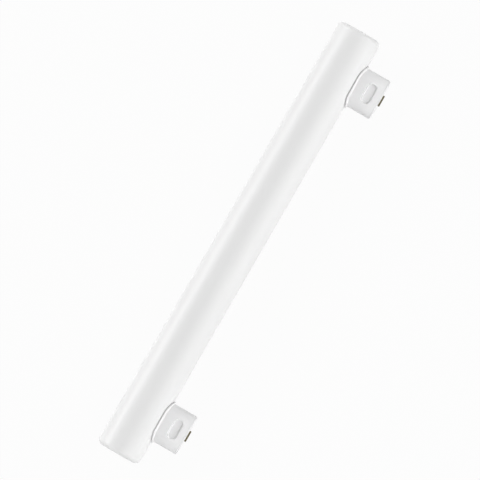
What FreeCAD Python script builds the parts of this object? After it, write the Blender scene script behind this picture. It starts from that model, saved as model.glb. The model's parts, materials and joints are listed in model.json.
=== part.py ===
import FreeCAD, Part
import math
import os

import Sketcher

# Tubular lamp with two side pegs, lying on its side. Millimetres.
# Each body is drawn in the lamp's own axes: X along the tube, the pegs pointing along -Y, and Z
# across the flat sides of the pegs. Its placement then lays the lamp down as it comes to rest:
# the tube on the ground along its length, and the lower rim of both peg faces on the ground too.

# Driving dimensions
SIZES = {
    # Tube
    "tube_length": 300.0,
    "tube_diameter": 29.0,
    "tube_corner_radius": 3.3,
    # Pegs: how far their middles lie in from the tube's ends, and the stadium that stands out
    "peg_inset": 30.75,
    "peg_length": 26.7,
    "peg_width": 14.0,
    "peg_standoff": 17.2,
    "peg_rim_radius": 1.2,
    # Film of glue between a peg and the tube
    "seat_clearance": 0.05,
    # Saddle collar round the root of a peg, with a shadow gap between its lip and the tube
    "collar_lip": 1.4,
    "collar_thickness": 1.0,
    "collar_gap": 0.4,
    # Latch recess in each flat side of a peg: its mouth, its place and how far its walls lean in
    "recess_length": 13.5,
    "recess_height": 6.5,
    "recess_corner_radius": 3.0,
    "recess_from_face": 5.0,
    "recess_depth": 1.8,
    "recess_wall_run": 0.7,
    # Brass contact, a folded strip, and the slot that holds it
    "contact_length": 7.4,
    "contact_width": 3.0,
    "contact_sheet": 0.5,
    "contact_proud": 1.2,
    "contact_clearance": 0.15,
    "slot_depth": 4.0,
}

# Places that follow from the driving sizes, measured from the axis of the tube
TUBE_RADIUS = "(Dimensions.tube_diameter / 2)"
SEAT_RADIUS = f"({TUBE_RADIUS} + Dimensions.seat_clearance)"
LIP_RADIUS = f"({TUBE_RADIUS} + Dimensions.collar_gap)"
COLLAR_RADIUS = f"({TUBE_RADIUS} + Dimensions.collar_thickness)"
COLLAR_LENGTH = "(Dimensions.peg_length + 2 * Dimensions.collar_lip)"
COLLAR_WIDTH = "(Dimensions.peg_width + 2 * Dimensions.collar_lip)"
PEG_HALF_WIDTH = "(Dimensions.peg_width / 2)"
PEG_REACH = f"({TUBE_RADIUS} + Dimensions.peg_standoff)"
CONTACT_REACH = f"({PEG_REACH} + Dimensions.contact_proud)"
SLOT_FLOOR = f"({PEG_REACH} - Dimensions.slot_depth)"
RECESS_MIDDLE = f"({PEG_REACH} - Dimensions.recess_from_face - Dimensions.recess_height / 2)"
FOLD_RADIUS = "(Dimensions.contact_width / 2)"
FOLD_CENTRE = f"({CONTACT_REACH} - {FOLD_RADIUS})"

# Resting tilt, which brings the rounded lower rim of each peg's face to the ground
PEG_RIM = "Dimensions.peg_rim_radius"
RIM_OUT = f"({PEG_REACH} - {PEG_RIM})"
RIM_ACROSS = f"({PEG_HALF_WIDTH} - {PEG_RIM})"
REST_TILT = (
    f"(asin(({TUBE_RADIUS} - {PEG_RIM}) / hypot({RIM_OUT}; {RIM_ACROSS}))"
    f" - atan({RIM_ACROSS} / {RIM_OUT}))"
)

# Sideways reach of the tilted pegs and contacts, and the shift that centres the lamp on Y
PEG_SIDE = f"({RIM_OUT} * cos({REST_TILT}) + {RIM_ACROSS} * sin({REST_TILT}) + {PEG_RIM})"
CONTACT_SIDE = f"({FOLD_CENTRE} * cos({REST_TILT}) + {FOLD_RADIUS})"
REST_SHIFT = f"((max({PEG_SIDE}; {CONTACT_SIDE}) - {TUBE_RADIUS}) / 2)"

# Room that a cut has past the material it removes
OVERSHOOT = 2.0

# A rounded corner takes at most this share of the side that it rounds
CORNER_SHARE = 0.48

# The recess cutter runs from this share of its depth, above the flat side, to the whole depth
RECESS_START = -0.25
RECESS_FLOOR = 1.0

# How a sketch numbers the points of a line or an arc, its own X axis and its origin
START, END, CENTRE = 1, 2, 3
X_AXIS = -1
ORIGIN = (X_AXIS, START)

# An edge counts as lying on a surface when its points are this near
NEAR = 0.001


def make_sheet(doc):
    """Write the driving dimensions into a spreadsheet, each with its alias."""
    sheet = doc.addObject("Spreadsheet::Sheet", "Dimensions")
    for row, (alias, value) in enumerate(SIZES.items(), start=1):
        sheet.set(f"A{row}", alias.replace("_", " "))
        sheet.set(f"B{row}", str(value))
        sheet.setAlias(f"B{row}", alias)
    doc.recompute()


def make_body(doc, label, along="0"):
    """Start a body whose placement tilts and lifts it to its rest, and shifts it along the tube."""
    body = doc.addObject("PartDesign::Body", label)
    body.Label = label
    body.Placement.Rotation = FreeCAD.Rotation(FreeCAD.Vector(1, 0, 0), 1)
    body.setExpression("Placement.Base.x", along)
    body.setExpression("Placement.Base.y", REST_SHIFT)
    body.setExpression("Placement.Base.z", TUBE_RADIUS)
    body.setExpression("Placement.Rotation.Angle", REST_TILT)
    return body


def value_of(item, expression):
    """Work out an expression as a number."""
    return float(item.evalExpression(expression))


# Sketches

def origin_plane(body, role):
    """Find one of the body's own origin planes."""
    return next(item for item in body.Origin.OriginFeatures if item.Role == role)


def add_sketch(body, name, role, lift="0", shift="0"):
    """Attach a sketch to an origin plane, lifted off it and shifted along the sketch's Y."""
    sketch = body.newObject("Sketcher::SketchObject", f"{body.Label}_{name}")
    sketch.AttachmentSupport = [(origin_plane(body, role), "")]
    sketch.MapMode = "FlatFace"
    sketch.setExpression("AttachmentOffset.Base.y", shift)
    sketch.setExpression("AttachmentOffset.Base.z", lift)
    return sketch


def bind(sketch, kind, *target, expression):
    """Add a dimension to a sketch and tie it to an expression."""
    start_value = value_of(sketch, expression)
    index = sketch.addConstraint(Sketcher.Constraint(kind, *target, start_value))
    sketch.setExpression(f"Constraints[{index}]", expression)


def relate(sketch, kind, *target):
    """Add a relation between points or lines of a sketch."""
    sketch.addConstraint(Sketcher.Constraint(kind, *target))


def add_line(sketch, start, end):
    """Draw a line between two points and return its index."""
    line = Part.LineSegment(FreeCAD.Vector(*start, 0), FreeCAD.Vector(*end, 0))
    return sketch.addGeometry(line, False)


def add_arc(sketch, centre, radius, first_degrees, last_degrees):
    """Draw an arc between two directions and return its index."""
    circle = Part.Circle(FreeCAD.Vector(*centre, 0), FreeCAD.Vector(0, 0, 1), radius)
    arc = Part.ArcOfCircle(circle, math.radians(first_degrees), math.radians(last_degrees))
    return sketch.addGeometry(arc, False)


def draw_circle(sketch, radius):
    """Draw a circle round the sketch's origin."""
    circle = Part.Circle(
        FreeCAD.Vector(0, 0, 0), FreeCAD.Vector(0, 0, 1), value_of(sketch, radius)
    )
    index = sketch.addGeometry(circle, False)
    relate(sketch, "Coincident", index, CENTRE, *ORIGIN)
    bind(sketch, "Radius", index, expression=radius)


def close_loop(sketch, kind, pieces):
    """Join each piece of an outline to the next one, by touching or by running on smoothly."""
    for piece, after in zip(pieces, pieces[1:] + pieces[:1]):
        relate(sketch, kind, piece, END, after, START)


def draw_square(sketch, side):
    """Draw a square round the sketch's origin."""
    reach = value_of(sketch, side) / 2
    corners = [(-reach, -reach), (reach, -reach), (reach, reach), (-reach, reach)]
    low, right, high, left = (
        add_line(sketch, corners[i], corners[(i + 1) % len(corners)]) for i in range(len(corners))
    )
    close_loop(sketch, "Coincident", [low, right, high, left])
    for line in (low, high):
        relate(sketch, "Horizontal", line)
    for line in (right, left):
        relate(sketch, "Vertical", line)
    relate(sketch, "Symmetric", low, START, high, START, *ORIGIN)
    bind(sketch, "DistanceX", low, START, low, END, expression=side)
    bind(sketch, "DistanceY", right, START, right, END, expression=side)


def draw_stadium(sketch, length, width):
    """Draw an outline with two straight sides and half-round ends round the sketch's origin."""
    radius = value_of(sketch, width) / 2
    centre = value_of(sketch, length) / 2 - radius
    right = add_arc(sketch, (centre, 0), radius, -90, 90)
    high = add_line(sketch, (centre, radius), (-centre, radius))
    left = add_arc(sketch, (-centre, 0), radius, 90, 270)
    low = add_line(sketch, (-centre, -radius), (centre, -radius))
    close_loop(sketch, "Tangent", [right, high, left, low])
    for line in (high, low):
        relate(sketch, "Horizontal", line)
    relate(sketch, "Symmetric", left, CENTRE, right, CENTRE, *ORIGIN)
    bind(sketch, "Radius", right, expression=f"({width} / 2)")
    between = f"({length} - {width})"
    bind(sketch, "DistanceX", left, CENTRE, right, CENTRE, expression=between)


def draw_rounded_rectangle(sketch, length, height, radius):
    """Draw a rectangle with rounded corners round the sketch's origin."""
    corner = value_of(sketch, radius)
    x, y = value_of(sketch, length) / 2, value_of(sketch, height) / 2
    flat_x, flat_y = x - corner, y - corner
    low = add_line(sketch, (-flat_x, -y), (flat_x, -y))
    low_right = add_arc(sketch, (flat_x, -flat_y), corner, 270, 360)
    right = add_line(sketch, (x, -flat_y), (x, flat_y))
    high_right = add_arc(sketch, (flat_x, flat_y), corner, 0, 90)
    high = add_line(sketch, (flat_x, y), (-flat_x, y))
    high_left = add_arc(sketch, (-flat_x, flat_y), corner, 90, 180)
    left = add_line(sketch, (-x, flat_y), (-x, -flat_y))
    low_left = add_arc(sketch, (-flat_x, -flat_y), corner, 180, 270)
    close_loop(
        sketch, "Tangent", [low, low_right, right, high_right, high, high_left, left, low_left]
    )
    for line in (low, high):
        relate(sketch, "Horizontal", line)
    for line in (right, left):
        relate(sketch, "Vertical", line)
    for arc in (low_right, high_right, high_left):
        relate(sketch, "Equal", low_left, arc)
    relate(sketch, "Symmetric", low_left, CENTRE, high_right, CENTRE, *ORIGIN)
    bind(sketch, "Radius", low_left, expression=radius)
    across, up = f"({length} - 2 * {radius})", f"({height} - 2 * {radius})"
    bind(sketch, "DistanceX", low, START, low, END, expression=across)
    bind(sketch, "DistanceY", right, START, right, END, expression=up)


def draw_arch(sketch, crest, foot, width):
    """Draw a bar's outline with a half-round crest at the sketch's left and a flat foot."""
    radius = value_of(sketch, width) / 2
    fold, end = radius - value_of(sketch, crest), -value_of(sketch, foot)
    high = add_line(sketch, (end, radius), (fold, radius))
    over = add_arc(sketch, (fold, 0), radius, 90, 270)
    low = add_line(sketch, (fold, -radius), (end, -radius))
    flat = add_line(sketch, (end, -radius), (end, radius))
    relate(sketch, "Tangent", high, END, over, START)
    relate(sketch, "Tangent", over, END, low, START)
    relate(sketch, "Coincident", low, END, flat, START)
    relate(sketch, "Coincident", flat, END, high, START)
    for line in (high, low):
        relate(sketch, "Horizontal", line)
    relate(sketch, "Vertical", flat)
    relate(sketch, "PointOnObject", over, CENTRE, X_AXIS)
    bind(sketch, "Radius", over, expression=f"({width} / 2)")
    bind(sketch, "DistanceX", over, CENTRE, *ORIGIN, expression=f"({crest} - {width} / 2)")
    bind(sketch, "DistanceX", flat, START, *ORIGIN, expression=foot)


# Features

def add_feature(body, kind, name, profile):
    """Add a feature that is made from a sketch."""
    feature = body.newObject(f"PartDesign::{kind}", f"{body.Label}_{name}")
    feature.Profile = profile
    return feature


def add_extrusion(body, kind, name, profile, length, both_ways=False):
    """Add a pad or a pocket of a bound length, to one side of its sketch or evenly to both."""
    feature = add_feature(body, kind, name, profile)
    feature.SideType = "Symmetric" if both_ways else "One side"
    feature.Type = "Length"
    feature.setExpression("Length", length)
    return feature


def add_fillet(body, name, base, chosen, radius):
    """Round the edges of a feature whose points all pass a test."""
    body.Document.recompute()
    edges = [
        f"Edge{number}"
        for number, edge in enumerate(base.Shape.Edges, start=1)
        if all(chosen(point) for point in edge.discretize(Number=7))
    ]
    fillet = body.newObject("PartDesign::Fillet", f"{body.Label}_{name}")
    fillet.Base = (base, edges)
    fillet.setExpression("Radius", radius)
    return fillet


# Pieces

def make_tube(doc):
    """Sealed opal tube: a round bar on the lamp's axis with rounded end corners."""
    body = make_body(doc, "opal_tube")
    section = add_sketch(body, "section", "YZ_Plane")
    # Its round starts on the line where the tube touches the ground
    section.setExpression("AttachmentOffset.Rotation.Angle", f"270 deg - {REST_TILT}")
    draw_circle(section, TUBE_RADIUS)
    bar = add_extrusion(body, "Pad", "bar", section, "Dimensions.tube_length", both_ways=True)
    half_length = value_of(body, "Dimensions.tube_length / 2")
    add_fillet(
        body,
        "end_corners",
        bar,
        lambda point: abs(abs(point.x) - half_length) < NEAR,
        "Dimensions.tube_corner_radius",
    )
    return body


def add_collar(body):
    """Saddle collar: a stadium flange whose faces follow the tube, with a gap under its lip."""
    outline = add_sketch(body, "collar_outline", "XZ_Plane")
    draw_stadium(outline, COLLAR_LENGTH, COLLAR_WIDTH)
    add_extrusion(body, "Pad", "collar_block", outline, f"{COLLAR_RADIUS} + {OVERSHOOT}")

    past_collar = f"({COLLAR_LENGTH} + {OVERSHOOT})"
    outside = add_sketch(body, "collar_top_curve", "YZ_Plane")
    draw_circle(outside, COLLAR_RADIUS)
    draw_square(outside, f"(2 * ({COLLAR_RADIUS} + {COLLAR_WIDTH}))")
    add_extrusion(body, "Pocket", "collar_top", outside, past_collar, both_ways=True)

    inside = add_sketch(body, "lip_curve", "YZ_Plane")
    draw_circle(inside, LIP_RADIUS)
    add_extrusion(body, "Pocket", "lip_underside", inside, past_collar, both_ways=True)


def add_peg(body):
    """Peg: a stadium column seated on the tube, with a rounded rim round its outer face."""
    outline = add_sketch(body, "peg_outline", "XZ_Plane")
    draw_stadium(outline, "Dimensions.peg_length", "Dimensions.peg_width")
    add_extrusion(body, "Pad", "peg_block", outline, PEG_REACH)

    seat = add_sketch(body, "seat_curve", "YZ_Plane")
    draw_circle(seat, SEAT_RADIUS)
    past_peg = f"(Dimensions.peg_length + {OVERSHOOT})"
    seated = add_extrusion(body, "Pocket", "tube_seat", seat, past_peg, both_ways=True)

    face = value_of(body, PEG_REACH)
    add_fillet(body, "peg_rim", seated, lambda point: abs(point.y + face) < NEAR, PEG_RIM)


def recess_section(body, name, share):
    """Section of a latch recess at a share of its depth, drawn parallel to the flat side."""
    lean = f"({share} * Dimensions.recess_wall_run)"
    length = f"(Dimensions.recess_length - 2 * {lean})"
    height = f"(Dimensions.recess_height - 2 * {lean})"
    corner = (
        f"min(Dimensions.recess_corner_radius - {lean};"
        f" {CORNER_SHARE} * {height}; {CORNER_SHARE} * {length})"
    )
    level = f"({PEG_HALF_WIDTH} - {share} * Dimensions.recess_depth)"
    sketch = add_sketch(body, name, "XY_Plane", lift=level, shift=f"-{RECESS_MIDDLE}")
    draw_rounded_rectangle(sketch, length, height, corner)
    return sketch


def add_latch_recesses(body):
    """Latch recesses: a hollow with leaning walls in one flat side, mirrored to the other."""
    start = recess_section(body, "recess_start", RECESS_START)
    floor = recess_section(body, "recess_floor", RECESS_FLOOR)
    recess = add_feature(body, "SubtractiveLoft", "recess", start)
    recess.Sections = [floor]
    recess.Ruled = True

    twin = body.newObject("PartDesign::Mirrored", f"{body.Label}_recess_twin")
    twin.Originals = [recess]
    twin.MirrorPlane = (origin_plane(body, "XY_Plane"), [""])
    body.Tip = twin


def add_contact_slot(body):
    """Contact slot: a hole in the peg's outer face that clears the contact all round."""
    slot = add_sketch(body, "slot_outline", "XZ_Plane", lift=PEG_REACH)
    room = "2 * Dimensions.contact_clearance"
    draw_rounded_rectangle(
        slot,
        f"(Dimensions.contact_length + {room})",
        f"(Dimensions.contact_width + {room})",
        f"({room})",
    )
    add_extrusion(body, "Pocket", "contact_slot", slot, "Dimensions.slot_depth")


def make_base(doc, label, along):
    """Peg base moulding: collar, peg, latch recesses and contact slot in one solid."""
    body = make_body(doc, label, along)
    add_collar(body)
    add_peg(body)
    add_latch_recesses(body)
    add_contact_slot(body)
    return body


def make_contact(doc, label, along):
    """Brass contact: a strip folded over, its feet on the slot's floor and its crest proud."""
    body = make_body(doc, label, along)
    outside = add_sketch(body, "outer_curve", "YZ_Plane")
    draw_arch(outside, CONTACT_REACH, SLOT_FLOOR, "Dimensions.contact_width")
    add_extrusion(body, "Pad", "bar", outside, "Dimensions.contact_length", both_ways=True)

    inside = add_sketch(body, "inner_curve", "YZ_Plane")
    draw_arch(
        inside,
        f"({CONTACT_REACH} - Dimensions.contact_sheet)",
        f"({SLOT_FLOOR} - {OVERSHOOT})",
        "(Dimensions.contact_width - 2 * Dimensions.contact_sheet)",
    )
    past_contact = f"(Dimensions.contact_length + {OVERSHOOT})"
    add_extrusion(body, "Pocket", "fold", inside, past_contact, both_ways=True)
    return body


# Checks and files

def check_features(doc, bodies):
    """Stop if an object failed, a feature changed nothing, or a body isn't one valid solid."""
    for item in doc.Objects:
        if "Invalid" in item.State or "Error" in item.State:
            raise RuntimeError(f"{item.Name} failed: {item.State}")
    for body in bodies:
        volume = 0.0
        for feature in body.Group:
            if feature.isDerivedFrom("Sketcher::SketchObject"):
                continue
            if abs(feature.Shape.Volume - volume) < NEAR:
                raise RuntimeError(f"{feature.Name} changes nothing")
            volume = feature.Shape.Volume
        if body.Shape.isNull() or not body.Shape.isValid() or len(body.Shape.Solids) != 1:
            raise RuntimeError(f"{body.Label} is not one valid solid")


def main():
    """Build the lamp and write each piece to its file."""
    doc = FreeCAD.newDocument("TubularLamp")
    make_sheet(doc)
    bodies = [make_tube(doc)]
    for side, sign in (("left", "-"), ("right", "")):
        along = f"{sign}(Dimensions.tube_length / 2 - Dimensions.peg_inset)"
        bodies.append(make_base(doc, f"{side}_base", along))
        bodies.append(make_contact(doc, f"{side}_contact", along))
    doc.recompute()
    check_features(doc, bodies)

    os.makedirs("parts", exist_ok=True)
    for body in bodies:
        body.Shape.exportStep(f"parts/{body.Label}.step")
        print(f"{body.Label}: volume {body.Shape.Volume:.1f}, faces {len(body.Shape.Faces)}")


main()
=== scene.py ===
"""Looks of a tubular lamp with two side pegs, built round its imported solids. Metres."""

import json
import logging
import math
from abc import ABC, abstractmethod
from collections.abc import Iterable, Mapping, Sequence
from dataclasses import dataclass
from enum import Enum
from typing import Any, ClassVar

import bmesh
import bpy
from mathutils import Matrix, Vector


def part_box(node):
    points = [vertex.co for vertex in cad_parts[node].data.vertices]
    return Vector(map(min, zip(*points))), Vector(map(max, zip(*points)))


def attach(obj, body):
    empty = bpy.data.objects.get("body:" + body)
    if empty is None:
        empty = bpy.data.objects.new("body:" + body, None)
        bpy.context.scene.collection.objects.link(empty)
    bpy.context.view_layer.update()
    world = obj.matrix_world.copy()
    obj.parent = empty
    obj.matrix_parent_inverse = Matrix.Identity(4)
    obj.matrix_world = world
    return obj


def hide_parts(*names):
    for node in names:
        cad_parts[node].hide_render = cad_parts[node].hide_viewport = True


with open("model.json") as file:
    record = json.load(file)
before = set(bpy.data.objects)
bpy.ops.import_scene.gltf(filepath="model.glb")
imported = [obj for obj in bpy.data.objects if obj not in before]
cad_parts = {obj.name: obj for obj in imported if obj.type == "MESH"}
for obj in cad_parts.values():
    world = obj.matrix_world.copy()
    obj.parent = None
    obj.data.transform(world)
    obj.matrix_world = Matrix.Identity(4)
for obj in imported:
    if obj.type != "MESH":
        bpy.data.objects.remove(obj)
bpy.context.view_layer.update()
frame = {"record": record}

BODY = "root"
WELD_DISTANCE = 1e-7
WHOLE_TURN = 2 * math.pi
QUARTER_TURN = math.pi / 2
ALONG = Vector((1, 0, 0))
LARGE_FACES_FIRST = 100

Colour = tuple[float, float, float, float]

log = logging.getLogger("lamp")


class End(Enum):
    """The two ends of the lamp, each with its direction along the tube."""

    LEFT = -1
    RIGHT = 1

    def node(self, piece: str) -> str:
        """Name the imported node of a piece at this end."""
        return f"{self.name.lower()}_{piece}"


class Slot(Enum):
    """The record's material slots."""

    OPAL = "opal_glass"
    MOULDING = "base_moulding"
    BRASS = "contact_brass"


@dataclass(frozen=True)
class LampAxes:
    """The lamp's own axes: X along the tube, the pegs along -Y, Z across their flat sides.

    Attributes:
        centre: Middle of the tube in the frame.
        tilt: Turn about X that lays the lamp down, in radians.
        tube_radius: Outer radius of the tube.
        tube_half_length: Half the length of the tube.
        peg_reach: From the tube's axis to a peg's outer face.
        peg_offset: From the middle of the tube to the middle of a peg, along the tube.
    """

    centre: Vector
    tilt: float
    tube_radius: float
    tube_half_length: float
    peg_reach: float
    peg_offset: float

    @classmethod
    def from_record(cls, record: Mapping[str, Any]) -> "LampAxes":
        """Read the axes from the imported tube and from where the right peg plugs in.

        Args:
            record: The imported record, with its mounts.

        Returns:
            The lamp's axes.
        """
        low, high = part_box("opal_tube")
        centre = (low + high) / 2
        plug = next(mount for mount in record["mounts"] if mount["name"] == "right_plug")
        outward = Vector(plug["axis"])
        from_centre = Vector(plug["pos_m"]) - centre
        return cls(
            centre=centre,
            tilt=math.atan2(-outward.z, -outward.y),
            tube_radius=(high.z - low.z) / 2,
            tube_half_length=(high.x - low.x) / 2,
            peg_reach=from_centre.dot(outward),
            peg_offset=from_centre.x,
        )

    @property
    def outward(self) -> Vector:
        """Direction in which the pegs point."""
        return Vector((0, -math.cos(self.tilt), -math.sin(self.tilt)))

    @property
    def across(self) -> Vector:
        """Direction out of the upper flat sides of the pegs."""
        return Vector((0, -math.sin(self.tilt), math.cos(self.tilt)))

    def tube_place(self) -> Matrix:
        """Place of the tube, whose own X is its axis."""
        return Matrix.Translation(self.centre) @ Matrix.Rotation(self.tilt, 4, "X")

    def peg_place(self, end: End) -> Matrix:
        """Place of a peg, whose own X runs along the tube, Y across and Z out of the tube.

        Args:
            end: The end of the lamp.

        Returns:
            The matrix from the peg's own axes to the frame.
        """
        middle = self.centre + ALONG * (end.value * self.peg_offset)
        turned = Matrix((ALONG, self.across, self.outward)).transposed()
        return Matrix.Translation(middle) @ turned.to_4x4()


class Signal:
    """An output socket of a node tree. Arithmetic on it adds Math nodes."""

    def __init__(self, board: "NodeBoard", socket: bpy.types.NodeSocket) -> None:
        """Keep the socket and the board that it belongs to."""
        self.board = board
        self.socket = socket

    def __add__(self, other: "Signal | float") -> "Signal":
        """Add a value."""
        return self.board.math("ADD", self, other)

    __radd__ = __add__

    def __sub__(self, other: "Signal | float") -> "Signal":
        """Take a value away."""
        return self.board.math("SUBTRACT", self, other)

    def __rsub__(self, other: "Signal | float") -> "Signal":
        """Take this away from a value."""
        return self.board.math("SUBTRACT", other, self)

    def __mul__(self, other: "Signal | float") -> "Signal":
        """Multiply by a value."""
        return self.board.math("MULTIPLY", self, other)

    __rmul__ = __mul__

    def __pow__(self, power: float) -> "Signal":
        """Raise to a power."""
        return self.board.math("POWER", self, power)

    def __abs__(self) -> "Signal":
        """Drop the sign."""
        return self.board.math("ABSOLUTE", self)

    def __gt__(self, other: "Signal | float") -> "Signal":
        """Be 1 where this is the larger and 0 elsewhere."""
        return self.board.math("GREATER_THAN", self, other)

    def __lt__(self, other: "Signal | float") -> "Signal":
        """Be 1 where this is the smaller and 0 elsewhere."""
        return self.board.math("LESS_THAN", self, other)

    def at_least(self, low: "Signal | float") -> "Signal":
        """Take the larger of this and a value."""
        return self.board.math("MAXIMUM", self, low)

    def at_most(self, high: "Signal | float") -> "Signal":
        """Take the smaller of this and a value."""
        return self.board.math("MINIMUM", self, high)


Feed = Signal | float | Sequence[float]


@dataclass(frozen=True)
class Grain:
    """A smooth noise over a surface.

    Attributes:
        scale: Grains in a metre along the lamp, across it and up.
        detail: How many finer layers the noise has.
    """

    scale: tuple[float, float, float]
    detail: float


class NodeBoard:
    """Adds nodes to one emptied node tree."""

    MIX_FACTOR, MIX_FIRST, MIX_SECOND, MIX_COLOUR = 0, 6, 7, 2

    def __init__(self, tree: bpy.types.NodeTree) -> None:
        """Empty the tree."""
        tree.nodes.clear()
        self.tree = tree

    def node(
        self,
        kind: str,
        settings: Mapping[str, Any] | None = None,
        feeds: Mapping[str | int, Feed] | None = None,
    ) -> bpy.types.Node:
        """Add a node, set its options, and then set or link its inputs.

        Args:
            kind: The node's type.
            settings: Values of its options, by name.
            feeds: Values or signals for its inputs, by name or place.

        Returns:
            The node.
        """
        made = self.tree.nodes.new(kind)
        for name, value in (settings or {}).items():
            setattr(made, name, value)
        for name, value in (feeds or {}).items():
            if isinstance(value, Signal):
                self.tree.links.new(value.socket, made.inputs[name])
            else:
                made.inputs[name].default_value = value
        return made

    def signal(
        self,
        kind: str,
        settings: Mapping[str, Any] | None = None,
        feeds: Mapping[str | int, Feed] | None = None,
        output: str | int = 0,
    ) -> Signal:
        """Add a node and take one of its outputs.

        Args:
            kind: The node's type.
            settings: Values of its options, by name.
            feeds: Values or signals for its inputs, by name or place.
            output: The output, by name or place.

        Returns:
            The output as a signal.
        """
        return Signal(self, self.node(kind, settings, feeds).outputs[output])

    def math(self, operation: str, *values: Signal | float) -> Signal:
        """Add a Math node on one or two values."""
        return self.signal("ShaderNodeMath", {"operation": operation}, dict(enumerate(values)))

    def dot(self, vector: Signal, direction: Sequence[float]) -> Signal:
        """Measure a vector along a direction.

        Args:
            vector: The vector.
            direction: The direction.

        Returns:
            How far the vector reaches that way.
        """
        settings = {"operation": "DOT_PRODUCT"}
        feeds = {0: vector, 1: tuple(direction)}
        return self.signal("ShaderNodeVectorMath", settings, feeds, "Value")

    def mix(self, share: Feed, first: Feed, second: Feed) -> Signal:
        """Blend two colours."""
        feeds = {self.MIX_FACTOR: share, self.MIX_FIRST: first, self.MIX_SECOND: second}
        return self.signal("ShaderNodeMix", {"data_type": "RGBA"}, feeds, self.MIX_COLOUR)

    def noise(self, grain: Grain, turn: float) -> Signal:
        """Lay a grain over the object's own coordinates.

        Args:
            grain: The grain.
            turn: Turn about X that brings it in line with the lamp.

        Returns:
            The noise, from 0 to 1.
        """
        place = self.signal("ShaderNodeTexCoord", output="Object")
        turned = self.signal(
            "ShaderNodeMapping",
            {"vector_type": "TEXTURE"},
            {"Vector": place, "Rotation": (turn, 0.0, 0.0)},
        )
        stretched = self.signal("ShaderNodeMapping", feeds={"Vector": turned, "Scale": grain.scale})
        feeds = {"Vector": stretched, "Scale": 1.0, "Detail": grain.detail}
        return self.signal("ShaderNodeTexNoise", feeds=feeds)

    def relief(self, height: Signal, depth: float) -> Signal:
        """Turn a height signal into a bumped normal that is so many metres deep."""
        return self.signal("ShaderNodeBump", feeds={"Height": height, "Distance": depth})


def new_material(name: str) -> bpy.types.Material:
    """Make an empty material with nodes.

    Args:
        name: Its name.

    Returns:
        The material.
    """
    material = bpy.data.materials.new(name)
    material.use_nodes = True
    return material


@dataclass(frozen=True)
class Finish(ABC):
    """A finish of the lamp's pieces."""

    @abstractmethod
    def feeds(self, board: NodeBoard, axes: LampAxes) -> dict[str | int, Feed]:
        """Work out what goes into the surface shader.

        Args:
            board: The board of the material.
            axes: The lamp's axes.

        Returns:
            Values or signals, by the shader's inputs.
        """

    def make(self, slot: Slot, axes: LampAxes) -> bpy.types.Material:
        """Make the material of a slot.

        Args:
            slot: The slot, whose name the material takes.
            axes: The lamp's axes.

        Returns:
            The material.
        """
        material = new_material(slot.value)
        board = NodeBoard(material.node_tree)
        surface = board.signal("ShaderNodeBsdfPrincipled", feeds=self.feeds(board, axes))
        board.node("ShaderNodeOutputMaterial", feeds={"Surface": surface})
        return material


@dataclass(frozen=True)
class OpalFinish(Finish):
    """Satin opal glass: a white diffusing layer that is a little denser in faint clouds.

    Attributes:
        clear: Colour where the layer is thinnest.
        dense: Colour where it is thickest.
        roughness: Middle roughness of the surface.
        roughness_swing: How far the roughness strays from it.
        ior: Index of refraction.
        clouds: Grain of the clouds.
        ripples: Grain of the drawn ripples along the tube.
        ripple_depth: Depth of the ripples.
    """

    clear: Colour = (0.765, 0.765, 0.763, 1.0)
    dense: Colour = (0.78, 0.78, 0.779, 1.0)
    roughness: float = 0.38
    roughness_swing: float = 0.04
    ior: float = 1.5
    clouds: Grain = Grain((14.0, 40.0, 40.0), detail=2.0)
    ripples: Grain = Grain((9.0, 420.0, 420.0), detail=1.0)
    ripple_depth: float = 0.00002

    def feeds(self, board: NodeBoard, axes: LampAxes) -> dict[str | int, Feed]:
        """Work out what goes into the surface shader.

        Args:
            board: The board of the material.
            axes: The lamp's axes.

        Returns:
            Values or signals, by the shader's inputs.
        """
        clouds = board.noise(self.clouds, axes.tilt)
        ripples = board.noise(self.ripples, axes.tilt)
        return {
            "Base Color": board.mix(clouds, self.clear, self.dense),
            "Roughness": self.roughness + self.roughness_swing * (ripples - 0.5),
            "IOR": self.ior,
            "Normal": board.relief(ripples, self.ripple_depth),
        }


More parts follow.
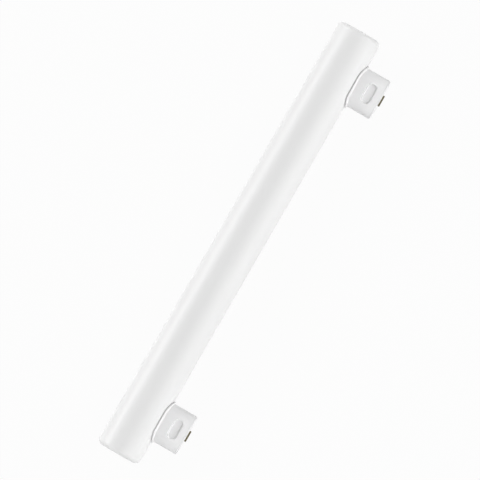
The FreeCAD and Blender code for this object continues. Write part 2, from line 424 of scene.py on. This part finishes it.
@dataclass(frozen=True)
class MouldingFinish(Finish):
    """White moulded plastic with the fine even texture of its mould; painted shade greys its rims,
    collars and recess walls by the tube, painted light lifts its recess floors.

    Attributes:
        pale: Lighter tint of the plastic.
        deep: Darker tint of the plastic.
        painted_edge_shade: Painted shade, a grey tint on the pegs' rims and on the collars.
        painted_floor_light: Painted light, a paler tint on the floors of the latch recesses.
        painted_wall_shade: Painted shade, a darker tint on the recess walls on the side of the
            tube.
        rim_start: From a peg's outer face to where the painted shade on its rim begins.
        rim_blend: Distance over which that painted shade comes in.
        collar_height: From the tube to the top of the collar's painted shade.
        collar_blend: Distance over which the collar's painted shade ends.
        latch_start: From a peg's outer face to where the region of its latch recesses begins.
        latch_wall: From that start to where the recess wall on the side of the tube begins.
        latch_end: From that start to where the region ends.
        latch_half_length: Half the length of the region along the tube.
        latch_mouth: From the peg's middle to just below the mouths of the recesses.
        latch_floor: From the peg's middle to just above their floors.
        roughness: Middle roughness of the surface.
        roughness_swing: How far the roughness strays from it.
        ior: Index of refraction.
        flow: Grain of the plastic's colour.
        texture: Grain of the mould's texture.
        texture_depth: Depth of that texture.
    """

    pale: Colour = (0.905, 0.905, 0.907, 1.0)
    deep: Colour = (0.885, 0.885, 0.887, 1.0)
    painted_edge_shade: Colour = (0.76, 0.76, 0.762, 1.0)
    painted_floor_light: Colour = (0.97, 0.97, 0.972, 1.0)
    painted_wall_shade: Colour = (0.6, 0.6, 0.602, 1.0)
    rim_start: float = 0.0017
    rim_blend: float = 0.001
    collar_height: float = 0.00105
    collar_blend: float = 0.00015
    latch_start: float = 0.0048
    latch_wall: float = 0.0056
    latch_end: float = 0.007
    latch_half_length: float = 0.0069
    latch_mouth: float = 0.00685
    latch_floor: float = 0.0054
    roughness: float = 0.45
    roughness_swing: float = 0.1
    ior: float = 1.49
    flow: Grain = Grain((60.0, 60.0, 160.0), detail=2.0)
    texture: Grain = Grain((2600.0, 2600.0, 2600.0), detail=2.0)
    texture_depth: float = 0.00001

    def paint_light_and_shade(self, board: NodeBoard, axes: LampAxes, unpainted: Signal) -> Signal:
        """Paint shade on the rims, collars and recess walls by the tube, and paint light on the
        recess floors.

        Args:
            board: The board of the material.
            axes: The lamp's axes.
            unpainted: Colour of the plastic before the painted light and shade.

        Returns:
            The colour.
        """
        place = board.signal("ShaderNodeTexCoord", output="Object")
        along = abs(abs(board.dot(place, ALONG)) - axes.peg_offset)
        out = board.dot(place, axes.outward) - axes.centre.dot(axes.outward)
        high = abs(board.dot(place, axes.across) - axes.centre.dot(axes.across))
        depth = axes.peg_reach - out
        # Painted shade on the rims and collars: a grey tint where their shade would fall.
        rim = (self.rim_start - depth) * (1 / self.rim_blend)
        from_axis = board.math("SQRT", out * out + high * high)
        top = axes.tube_radius + self.collar_height + self.collar_blend
        collar = (top - from_axis) * (1 / self.collar_blend)
        # Painted light on the recess floors and painted shade on the recess walls by the tube.
        latch = (
            (depth > self.latch_start)
            * (depth < self.latch_start + self.latch_end)
            * (along < self.latch_half_length)
            * (high < self.latch_mouth)
        )
        floor = latch * (high < self.latch_floor)
        wall = (latch - floor) * (depth > self.latch_start + self.latch_wall)
        # Mix in the painted shade on rims, collars and recess walls, then the painted light on
        # recess floors.
        shade_share = rim.at_least(collar).at_least(0.0).at_most(1.0)
        shaded = board.mix(wall, board.mix(shade_share, unpainted, self.painted_edge_shade), self.painted_wall_shade)
        return board.mix(floor, shaded, self.painted_floor_light)

    def feeds(self, board: NodeBoard, axes: LampAxes) -> dict[str | int, Feed]:
        """Work out what goes into the surface shader.

        Args:
            board: The board of the material.
            axes: The lamp's axes.

        Returns:
            Values or signals, by the shader's inputs.
        """
        flow = board.noise(self.flow, axes.tilt)
        texture = board.noise(self.texture, axes.tilt)
        unpainted = board.mix(flow, self.pale, self.deep)
        return {
            "Base Color": self.paint_light_and_shade(board, axes, unpainted),
            "Roughness": self.roughness + self.roughness_swing * (texture - 0.5),
            "IOR": self.ior,
            "Normal": board.relief(texture, self.texture_depth),
        }


@dataclass(frozen=True)
class BrassFinish(Finish):
    """Rolled brass strip, dark with dulling, with its rolling grain along the lamp.

    Attributes:
        bright: Colour where it is least dulled.
        dulled: Colour where it is most dulled.
        roughness: Middle roughness of the surface.
        roughness_swing: How far the roughness strays from it.
        stain: Grain of the dulling.
        rolling: Grain that the rolls left along the strip.
        rolling_depth: Depth of that grain.
    """

    bright: Colour = (0.13, 0.115, 0.07, 1.0)
    dulled: Colour = (0.07, 0.062, 0.04, 1.0)
    roughness: float = 0.34
    roughness_swing: float = 0.16
    stain: Grain = Grain((500.0, 700.0, 700.0), detail=3.0)
    rolling: Grain = Grain((180.0, 7000.0, 7000.0), detail=2.0)
    rolling_depth: float = 0.00001

    def feeds(self, board: NodeBoard, axes: LampAxes) -> dict[str | int, Feed]:
        """Work out what goes into the surface shader.

        Args:
            board: The board of the material.
            axes: The lamp's axes.

        Returns:
            Values or signals, by the shader's inputs.
        """
        stain = board.noise(self.stain, axes.tilt)
        rolling = board.noise(self.rolling, axes.tilt)
        return {
            "Base Color": board.mix(stain, self.bright, self.dulled),
            "Metallic": 1.0,
            "Roughness": self.roughness + self.roughness_swing * (rolling - 0.5),
            "Normal": board.relief(rolling, self.rolling_depth),
        }


@dataclass(frozen=True)
class FlatLevel:
    """A flat level.

    Attributes:
        height: Its height.
    """

    height: float

    def height_at(self, across: float) -> float:
        """Height of the level, which is the same everywhere."""
        return self.height


@dataclass(frozen=True)
class RoundLevel:
    """A level that follows the round of the tube.

    Attributes:
        radius: Its distance from the tube's axis.
    """

    radius: float

    def height_at(self, across: float) -> float:
        """Height of the level at a distance across the tube."""
        return math.sqrt(self.radius**2 - across**2)


@dataclass(frozen=True)
class Station:
    """One ring of a wall.

    Attributes:
        spread: How far the ring lies outside the outline.
        level: The level that it lies on.
    """

    spread: float
    level: FlatLevel | RoundLevel


class Chain:
    """A run of edges, drawn in a mesh from point to point."""

    def __init__(self, mesh: bmesh.types.BMesh, start: Vector) -> None:
        """Begin the run at a point."""
        self.mesh = mesh
        self.tip = mesh.verts.new(start)

    def line_to(self, point: Vector) -> None:
        """Carry on straight to a point.

        Args:
            point: The point.
        """
        made = bmesh.ops.extrude_vert_indiv(self.mesh, verts=[self.tip])
        self.tip = made["verts"][0]
        bmesh.ops.translate(self.mesh, verts=[self.tip], vec=point - self.tip.co)

    def arc(self, centre: Vector, axis: Vector, angle: float, steps: int) -> None:
        """Carry on round a centre.

        Args:
            centre: Centre of the arc.
            axis: Axis that it turns about.
            angle: How far it turns, in radians.
            steps: Edges in the arc.
        """
        made = bmesh.ops.spin(
            self.mesh, geom=[self.tip], cent=centre, axis=axis, angle=angle, steps=steps
        )
        self.tip = next(v for v in made["geom_last"] if isinstance(v, bmesh.types.BMVert))


@dataclass(frozen=True)
class RoundedOutline:
    """A rectangle with rounded corners in the XY plane, or a stadium if its core is a line.

    Attributes:
        core_x: Half the length of the core that the corners turn round.
        core_y: Half the width of the core.
        radius: Radius of the corners.
        corner_steps: Edges in each corner.
    """

    core_x: float
    core_y: float
    radius: float
    corner_steps: int

    @classmethod
    def of_size(
        cls, length: float, width: float, radius: float, corner_steps: int
    ) -> "RoundedOutline":
        """Make an outline from its overall size.

        Args:
            length: Length along X.
            width: Width along Y.
            radius: Radius of the corners.
            corner_steps: Edges in each corner.

        Returns:
            The outline.
        """
        return cls(length / 2 - radius, width / 2 - radius, radius, corner_steps)

    def draw(self, mesh: bmesh.types.BMesh) -> list[bmesh.types.BMEdge]:
        """Draw the closed outline.

        Args:
            mesh: An empty mesh.

        Returns:
            The outline's edges.
        """
        side_x, side_y = self.core_x + self.radius, self.core_y + self.radius
        chain = Chain(mesh, Vector((-self.core_x, -side_y, 0)))
        corners = (
            (Vector((self.core_x, -side_y, 0)), Vector((self.core_x, -self.core_y, 0))),
            (Vector((side_x, self.core_y, 0)), Vector((self.core_x, self.core_y, 0))),
            (Vector((-self.core_x, side_y, 0)), Vector((-self.core_x, self.core_y, 0))),
            (Vector((-side_x, -self.core_y, 0)), Vector((-self.core_x, -self.core_y, 0))),
        )
        for start, centre in corners:
            chain.line_to(start)
            chain.arc(centre, Vector((0, 0, 1)), QUARTER_TURN, self.corner_steps)
        bmesh.ops.remove_doubles(mesh, verts=mesh.verts[:], dist=WELD_DISTANCE)
        return mesh.edges[:]

    def moved(self, point: Vector, station: Station) -> Vector:
        """Move a point of a ring to a station.

        Args:
            point: The point, which lies outside the core.
            station: The station.

        Returns:
            The point at the station.
        """
        core = Vector(
            (
                min(max(point.x, -self.core_x), self.core_x),
                min(max(point.y, -self.core_y), self.core_y),
            )
        )
        outside = (point.xy - core).normalized()
        ring = core + outside * (self.radius + station.spread)
        return Vector((ring.x, ring.y, station.level.height_at(ring.y)))

    def raise_wall(
        self, mesh: bmesh.types.BMesh, stations: Iterable[Station]
    ) -> list[list[bmesh.types.BMEdge]]:
        """Draw the outline and extrude it from station to station, closed by a face at the first.

        Args:
            mesh: An empty mesh.
            stations: The stations, in order.

        Returns:
            The edges of the ring at each station.
        """
        ring = self.draw(mesh)
        bare = {vertex: vertex.co.copy() for edge in ring for vertex in edge.verts}
        rings = []
        for station in stations:
            if rings:
                ring, bare = self.extruded(mesh, ring, bare)
            else:
                bmesh.ops.contextual_create(mesh, geom=ring)
            for vertex, point in bare.items():
                vertex.co = self.moved(point, station)
            rings.append(ring)
        return rings

    @staticmethod
    def extruded(
        mesh: bmesh.types.BMesh,
        ring: list[bmesh.types.BMEdge],
        bare: Mapping[bmesh.types.BMVert, Vector],
    ) -> tuple[list[bmesh.types.BMEdge], dict[bmesh.types.BMVert, Vector]]:
        """Extrude a ring, and carry over where its vertices lie on the bare outline.

        Args:
            mesh: The mesh.
            ring: Edges of the ring.
            bare: Place of each of its vertices on the bare outline.

        Returns:
            The new ring's edges, and the places of its vertices.
        """
        made = bmesh.ops.extrude_edge_only(mesh, edges=ring)["geom"]
        fresh = {item for item in made if isinstance(item, bmesh.types.BMVert)}
        after = {}
        for vertex in fresh:
            for edge in vertex.link_edges:
                below = edge.other_vert(vertex)
                if below in bare:
                    after[vertex] = bare[below]
        edges = [
            item
            for item in made
            if isinstance(item, bmesh.types.BMEdge) and set(item.verts) <= fresh
        ]
        return edges, after


def round_edges(
    mesh: bmesh.types.BMesh, edges: Sequence[bmesh.types.BMEdge], width: float, segments: int
) -> None:
    """Round edges by a bevel.

    Args:
        mesh: The mesh.
        edges: The edges.
        width: How far the round reaches from each edge.
        segments: Faces across the round.
    """
    bmesh.ops.bevel(
        mesh,
        geom=list(edges),
        offset=width,
        offset_type="OFFSET",
        segments=segments,
        profile=0.5,
        affect="EDGES",
        clamp_overlap=True,
        material=-1,
    )


def make_object(
    name: str, mesh: bmesh.types.BMesh, place: Matrix, crease_angle: float = math.radians(50)
) -> bpy.types.Object:
    """Turn a bmesh into an object with its place in its mesh, smooth but for sharp creases.

    Args:
        name: Name of the object.
        mesh: The bmesh, which is freed.
        place: Matrix from the piece's own axes to the frame.
        crease_angle: Edges that fold by more than this stay sharp.

    Returns:
        The object.
    """
    bmesh.ops.remove_doubles(mesh, verts=mesh.verts[:], dist=WELD_DISTANCE)
    bmesh.ops.recalc_face_normals(mesh, faces=mesh.faces[:])
    bmesh.ops.transform(mesh, matrix=place, verts=mesh.verts[:])
    for face in mesh.faces:
        face.smooth = True
    for edge in mesh.edges:
        edge.smooth = edge.calc_face_angle(0.0) < crease_angle
    data = bpy.data.meshes.new(name)
    mesh.to_mesh(data)
    mesh.free()
    item = bpy.data.objects.new(name, data)
    bpy.context.scene.collection.objects.link(item)
    return item


def even_shading(item: bpy.types.Object) -> None:
    """Let the large faces of a piece set the shading of the small ones beside them.

    Args:
        item: The piece.
    """
    modifier = item.modifiers.new("even_shading", "WEIGHTED_NORMAL")
    modifier.keep_sharp = True
    modifier.weight = LARGE_FACES_FIRST


def carve(item: bpy.types.Object, cutters: Iterable[bpy.types.Object]) -> None:
    """Cut shapes out of a piece and remove them.

    Args:
        item: The piece.
        cutters: The shapes to cut out.
    """
    for cutter in cutters:
        modifier = item.modifiers.new("carve", "BOOLEAN")
        modifier.operation = "DIFFERENCE"
        modifier.solver = "EXACT"
        modifier.object = cutter
        whole = item.data
        depsgraph = bpy.context.evaluated_depsgraph_get()
        item.data = bpy.data.meshes.new_from_object(item.evaluated_get(depsgraph))
        item.data.name = item.name
        item.modifiers.clear()
        bpy.data.meshes.remove(whole)
        bpy.data.meshes.remove(cutter.data)


@dataclass
class LampPart(ABC):
    """A part of the lamp, which builds its piece and dresses it.

    Attributes:
        material_slot: The part's slot in the record, the same for all parts of a kind.
        axes: The lamp's axes.
    """

    material_slot: ClassVar[Slot]
    axes: LampAxes

    @abstractmethod
    def build(self) -> bpy.types.Object:
        """Build the piece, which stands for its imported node.

        Returns:
            The piece.
        """

    def dress(self, item: bpy.types.Object, material: bpy.types.Material) -> None:
        """Give the piece its material and let it ride on the lamp.

        Args:
            item: The piece.
            material: Its material.
        """
        item.data.materials.clear()
        item.data.materials.append(material)
        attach(item, BODY)


@dataclass
class OpalTube(LampPart):
    """The sealed opal tube, with its rounded end corners.

    Attributes:
        corner_radius: Radius of the end corners.
        corner_steps: Edges in each end corner.
        turn_steps: Edges round the tube.
    """

    material_slot = Slot.OPAL
    corner_radius: float = 0.0033
    corner_steps: int = 14
    turn_steps: int = 160

    def build(self) -> bpy.types.Object:
        """Turn half of the tube's section about its axis.

        Returns:
            The tube.
        """
        mesh = bmesh.new()
        radius, half = self.axes.tube_radius, self.axes.tube_half_length
        inner = radius - self.corner_radius
        straight = half - self.corner_radius
        chain = Chain(mesh, Vector((-half, 0, 0)))
        chain.line_to(Vector((-half, inner, 0)))
        turn = Vector((0, 0, -1))
        chain.arc(Vector((-straight, inner, 0)), turn, QUARTER_TURN, self.corner_steps)
        chain.line_to(Vector((straight, radius, 0)))
        chain.arc(Vector((straight, inner, 0)), turn, QUARTER_TURN, self.corner_steps)
        chain.line_to(Vector((half, 0, 0)))
        bmesh.ops.spin(
            mesh,
            geom=mesh.verts[:] + mesh.edges[:],
            cent=(0, 0, 0),
            axis=ALONG,
            angle=WHOLE_TURN,
            steps=self.turn_steps,
            use_merge=True,
        )
        item = make_object("opal_envelope", mesh, self.axes.tube_place())
        even_shading(item)
        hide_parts("opal_tube")
        return item


@dataclass
class PegBase(LampPart):
    """A peg base moulding: stadium peg, saddle collar, two latch recesses and a contact slot.

    Attributes:
        end: The end of the lamp.
        peg_length: Length of the peg along the tube.
        peg_width: Width of the peg between its flat sides.
        rim_radius: Radius round the outer face.
        seat_clearance: Film of glue between the peg and the tube.
        collar_lip: How far the collar stands out round the peg.
        collar_thickness: From the tube to the top of the collar.
        collar_gap: Gap between the collar's lip and the tube.
        collar_round: Radius of the collar's upper edge, twice that of its lower edge.
        root_round: Radius where the peg grows out of the collar.
        recess_length: Length of a latch recess at its mouth.
        recess_height: Height of a latch recess at its mouth.
        recess_corner: Corner radius of its mouth.
        recess_from_face: From the peg's outer face to the mouth.
        recess_depth: Depth of a latch recess.
        recess_run: How far its walls lean in.
        slot_length: Length of the contact slot.
        slot_width: Width of the contact slot.
        slot_corner: Corner radius of the slot.
        slot_depth: Depth of the slot.
        mouth_round: Radius round the mouths and floors of recesses and slot.
        end_steps: Edges in a quarter of each half-round end.
        seat_steps: Steps from the edge of the seat to its middle.
        recess_corner_steps: Edges in each corner of a recess.
        slot_corner_steps: Edges in each corner of the slot.
        rim_segments: Faces across the rim's round.
        root_segments: Faces across the rounds of the root and of the collar's upper edge.
        lip_segments: Faces across the round of the collar's lower edge.
        mouth_segments: Faces across the round of a mouth.
        floor_segments: Faces across the round of a floor.
        cutter_lift: How far a cutter's mouth stays above the surface that it cuts.
        cutter_brim: How far a cutter's brim reaches sideways, and up from the surface.
    """

    material_slot = Slot.MOULDING
    end: End
    peg_length: float = 0.0267
    peg_width: float = 0.014
    rim_radius: float = 0.0012
    seat_clearance: float = 0.00005
    collar_lip: float = 0.0014
    collar_thickness: float = 0.001
    collar_gap: float = 0.0004
    collar_round: float = 0.00025
    root_round: float = 0.0004
    recess_length: float = 0.0135
    recess_height: float = 0.0065
    recess_corner: float = 0.003
    recess_from_face: float = 0.005
    recess_depth: float = 0.0018
    recess_run: float = 0.0007
    slot_length: float = 0.0077
    slot_width: float = 0.0033
    slot_corner: float = 0.0003
    slot_depth: float = 0.004
    mouth_round: float = 0.0002
    end_steps: int = 16
    seat_steps: int = 5
    recess_corner_steps: int = 7
    slot_corner_steps: int = 4
    rim_segments: int = 8
    root_segments: int = 4
    lip_segments: int = 2
    mouth_segments: int = 4
    floor_segments: int = 3
    cutter_lift: float = 0.000004
    cutter_brim: float = 0.001

    def peg_stations(self) -> list[Station]:
        """List the rings of the moulding from its outer face down to its seat on the tube.

        Returns:
            The stations of its wall, in order.
        """
        tube = self.axes.tube_radius
        top = RoundLevel(tube + self.collar_thickness)
        lip = RoundLevel(tube + self.collar_gap)
        seat = RoundLevel(tube + self.seat_clearance)
        inward = -self.peg_width / 2
        return [
            Station(0, FlatLevel(self.axes.peg_reach)),
            Station(0, top),
            Station(self.collar_lip, top),
            Station(self.collar_lip, lip),
            Station(0, lip),
            *(Station(inward * i / self.seat_steps, seat) for i in range(self.seat_steps + 1)),
        ]

    def build(self) -> bpy.types.Object:
        """Raise the moulding round its outline and cut its hollows.

        Returns:
            The moulding.
        """
        mesh = bmesh.new()
        outline = RoundedOutline.of_size(
            self.peg_length, self.peg_width, self.peg_width / 2, self.end_steps
        )
        rim, root, collar_top, collar_foot, *_ = outline.raise_wall(mesh, self.peg_stations())
        round_edges(mesh, rim, self.rim_radius, self.rim_segments)
        round_edges(mesh, root, self.root_round, self.root_segments)
        round_edges(mesh, collar_top, self.collar_round, self.root_segments)
        round_edges(mesh, collar_foot, self.collar_round / 2, self.lip_segments)
        name = f"{self.end.name.lower()}_base_moulding"
        item = make_object(name, mesh, Matrix.Identity(4))
        carve(item, [self.recess(0), self.recess(math.pi), self.slot()])
        item.data.transform(self.axes.peg_place(self.end))
        even_shading(item)
        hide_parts(self.end.node("base"))
        return item

    def hollow(
        self, outline: RoundedOutline, surface: float, depth: float, lean: float, place: Matrix
    ) -> bpy.types.Object:
        """Make the cutter of a hollow whose mouth is rounded into the surface that it is cut in.

        Args:
            outline: Outline of the mouth.
            surface: Height of the surface.
            depth: Depth of the hollow.
            lean: How far the walls lean in.
            place: Matrix from the cutter's own axes to the peg's.

        Returns:
            The cutter.
        """
        underside = surface + self.cutter_lift
        mesh = bmesh.new()
        _, _, mouth, floor = outline.raise_wall(
            mesh,
            [
                Station(self.cutter_brim, FlatLevel(surface + self.cutter_brim)),
                Station(self.cutter_brim, FlatLevel(underside)),
                Station(0, FlatLevel(underside)),
                Station(-lean, FlatLevel(surface - depth)),
            ],
        )
        bmesh.ops.contextual_create(mesh, geom=floor)
        round_edges(mesh, mouth, self.mouth_round, self.mouth_segments)
        round_edges(mesh, floor, self.mouth_round, self.floor_segments)
        return make_object("hollow", mesh, place)

    def recess(self, turn: float) -> bpy.types.Object:
        """Make the cutter of a latch recess.

        Args:
            turn: Turn about the peg that brings it to its flat side, in radians.

        Returns:
            The cutter.
        """
        outline = RoundedOutline.of_size(
            self.recess_length, self.recess_height, self.recess_corner, self.recess_corner_steps
        )
        middle = self.axes.peg_reach - self.recess_from_face - self.recess_height / 2
        upright = Matrix.Rotation(-QUARTER_TURN, 4, "X")
        raised = Matrix.Translation((0, 0, middle)) @ upright
        return self.hollow(
            outline,
            self.peg_width / 2,
            self.recess_depth,
            self.recess_run,
            Matrix.Rotation(turn, 4, "Z") @ raised,
        )

    def slot(self) -> bpy.types.Object:
        """Make the cutter of the contact slot.

        Returns:
            The cutter.
        """
        outline = RoundedOutline.of_size(
            self.slot_length, self.slot_width, self.slot_corner, self.slot_corner_steps
        )
        return self.hollow(outline, self.axes.peg_reach, self.slot_depth, 0, Matrix.Identity(4))


@dataclass
class FoldedContact(LampPart):
    """A brass contact: a strip folded over, with its feet on the floor of the slot.

    Attributes:
        end: The end of the lamp.
        length: Length along the tube.
        width: Width over the fold.
        sheet: Thickness of the strip.
        proud: How far the crest stands out of the peg.
        slot_depth: From the peg's outer face to the feet.
        edge_round: Radius of the strip's edges.
        edge_segments: Faces across the round of an edge.
        edge_angle: Edges of the strip that fold by more than this are rounded.
        fold_steps: Edges round the fold.
    """

    material_slot = Slot.BRASS
    end: End
    length: float = 0.0074
    width: float = 0.003
    sheet: float = 0.0005
    proud: float = 0.0012
    slot_depth: float = 0.004
    edge_round: float = 0.00008
    edge_segments: int = 2
    edge_angle: float = math.radians(60)
    fold_steps: int = 20

    def build(self) -> bpy.types.Object:
        """Fold the strip, draw it out along the tube and give it its thickness.

        Returns:
            The contact.
        """
        mesh = bmesh.new()
        half = self.width / 2
        fold = self.axes.peg_reach + self.proud - half
        foot = self.axes.peg_reach - self.slot_depth
        start = -self.length / 2
        chain = Chain(mesh, Vector((start, half, foot)))
        chain.line_to(Vector((start, half, fold)))
        chain.arc(Vector((start, 0, fold)), ALONG, math.pi, self.fold_steps)
        chain.line_to(Vector((start, -half, foot)))
        drawn = bmesh.ops.extrude_edge_only(mesh, edges=mesh.edges[:])["geom"]
        moved = [item for item in drawn if isinstance(item, bmesh.types.BMVert)]
        bmesh.ops.translate(mesh, verts=moved, vec=ALONG * self.length)
        bmesh.ops.recalc_face_normals(mesh, faces=mesh.faces[:])
        bmesh.ops.solidify(mesh, geom=mesh.faces[:], thickness=self.sheet)
        bmesh.ops.recalc_face_normals(mesh, faces=mesh.faces[:])
        edges = [edge for edge in mesh.edges if edge.calc_face_angle(0.0) > self.edge_angle]
        round_edges(mesh, edges, self.edge_round, self.edge_segments)
        name = f"{self.end.name.lower()}_contact_strip"
        item = make_object(name, mesh, self.axes.peg_place(self.end))
        even_shading(item)
        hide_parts(self.end.node("contact"))
        return item


@dataclass(frozen=True)
class Softbox:
    """A long soft light beside the lamp.

    Attributes:
        turn: Where its middle is, in degrees from over the lamp towards the pegs.
        strength: Its brightness there.
    """

    turn: float
    strength: float


@dataclass(frozen=True)
class Studio:
    """A pale floor between long softboxes, with less light straight over the lamp.

    Attributes:
        axes: The lamp's axes.
        floor_reach: Half the side of the floor.
        floor_colour: Colour of the floor as light falls on it.
        floor_white: Share of plain white in the floor as the camera and reflections see it.
        all_round: Light from every side.
        end_fade: Share of their light that the softboxes lose towards the lamp's ends.
        softboxes: The lights along the lamp.
        softbox_reach: Degrees on each side of its middle in which a softbox fades out.
    """

    axes: LampAxes
    floor_reach: float = 5.0
    floor_colour: Colour = (0.45, 0.45, 0.45, 1.0)
    floor_white: float = 0.96
    all_round: float = 0.02
    end_fade: float = 0.6
    softboxes: tuple[Softbox, ...] = (
        Softbox(-80.0, 7.0),
        Softbox(-60.0, 1.9),
        Softbox(20.0, 2.3),
        Softbox(40.0, 3.15),
        Softbox(60.0, 1.3),
        Softbox(80.0, 8.0),
    )
    softbox_reach: float = 20.0

    def lay_floor(self) -> None:
        """Lay the floor that the lamp lies on."""
        mesh = bmesh.new()
        bmesh.ops.create_grid(mesh, x_segments=1, y_segments=1, size=self.floor_reach)
        item = make_object("floor", mesh, Matrix.Identity(4))
        material = new_material("pale_floor")
        board = NodeBoard(material.node_tree)
        seen = board.signal("ShaderNodeLightPath", output="Is Camera Ray").at_least(
            board.signal("ShaderNodeLightPath", output="Is Glossy Ray")
        )
        lit = board.signal("ShaderNodeBsdfDiffuse", feeds={"Color": self.floor_colour})
        white = board.signal("ShaderNodeEmission", feeds={"Strength": 1.0})
        mixed = board.signal(
            "ShaderNodeMixShader", feeds={0: self.floor_white * seen, 1: lit, 2: white}
        )
        board.node("ShaderNodeOutputMaterial", feeds={"Surface": mixed})
        item.data.materials.append(material)

    def light(self) -> None:
        """Light the lamp from all round, by direction."""
        world = bpy.data.worlds.new("soft_light")
        world.use_nodes = True
        bpy.context.scene.world = world
        board = NodeBoard(world.node_tree)
        direction = board.signal("ShaderNodeTexCoord", output="Generated")
        sideways = board.dot(direction, self.axes.outward)
        overhead = board.dot(direction, self.axes.across)
        turn = board.math("ARCTAN2", sideways, overhead) * math.degrees(1)
        full = 1.0 - self.end_fade * board.dot(direction, ALONG) ** 2
        strength: Signal | float = self.all_round
        for box in self.softboxes:
            away = abs(turn - box.turn) * (1 / self.softbox_reach)
            strength += box.strength * (1.0 - away).at_least(0.0) * full
        background = board.signal("ShaderNodeBackground", feeds={"Strength": strength})
        board.node("ShaderNodeOutputWorld", feeds={"Surface": background})


@dataclass(frozen=True)
class PhotographCamera:
    """A long lens over the flat sides of the pegs, framed as in the photograph.

    Attributes:
        axes: The lamp's axes.
        frame_pixels: Side of the photograph.
        left_end: Pixel of the middle of the tube's left end.
        right_end: Pixel of the middle of the tube's right end.
        lens: Focal length in millimetres.
        sensor: Width of the sensor in millimetres.
        nearest: Where the camera's view begins.
        farthest: Where it ends.
    """

    axes: LampAxes
    frame_pixels: float = 480.0
    left_end: tuple[float, float] = (117.45, 453.46)
    right_end: tuple[float, float] = (360.74, 31.76)
    lens: float = 600.0
    sensor: float = 36.0
    nearest: float = 0.01
    farthest: float = 100.0

    def place(self) -> None:
        """Place the camera and make it the scene's."""
        run = Vector(self.right_end) - Vector(self.left_end)
        slant = math.atan2(-run.y, run.x)
        back = self.axes.across
        right = ALONG * math.cos(slant) + ALONG.cross(back) * math.sin(slant)
        up = back.cross(right)
        metres = 2 * self.axes.tube_half_length / run.length
        middle = (Vector(self.right_end) + Vector(self.left_end)) / 2
        off_x = middle.x - self.frame_pixels / 2
        off_y = self.frame_pixels / 2 - middle.y
        aim = self.axes.centre - right * (off_x * metres) - up * (off_y * metres)
        distance = self.frame_pixels * metres * self.lens / self.sensor
        camera = bpy.data.cameras.new("photograph_camera")
        camera.lens = self.lens
        camera.sensor_width = self.sensor
        camera.clip_start = self.nearest
        camera.clip_end = self.farthest
        item = bpy.data.objects.new("photograph_camera", camera)
        bpy.context.scene.collection.objects.link(item)
        turned = Matrix((right, up, back)).transposed().to_4x4()
        item.matrix_world = Matrix.Translation(aim + back * distance) @ turned
        bpy.context.scene.camera = item


def report(item: bpy.types.Object) -> None:
    """Log a piece and how many faces it has."""
    log.info("%s: %d faces", item.name, len(item.data.polygons))


def main() -> None:
    """Build and dress the lamp, then set up the studio and the camera."""
    logging.basicConfig(level=logging.INFO, format="%(name)s: %(message)s")
    axes = LampAxes.from_record(frame["record"])
    finishes = {
        Slot.OPAL: OpalFinish(),
        Slot.MOULDING: MouldingFinish(),
        Slot.BRASS: BrassFinish(),
    }
    materials = {slot: finish.make(slot, axes) for slot, finish in finishes.items()}
    parts: list[LampPart] = [OpalTube(axes)]
    for end in End:
        parts += [PegBase(axes, end), FoldedContact(axes, end)]
    for part in parts:
        item = part.build()
        part.dress(item, materials[part.material_slot])
        report(item)
    studio = Studio(axes)
    studio.lay_floor()
    studio.light()
    PhotographCamera(axes).place()
    bpy.context.scene.view_settings.view_transform = "Standard"


if __name__ == "__main__":
    main()
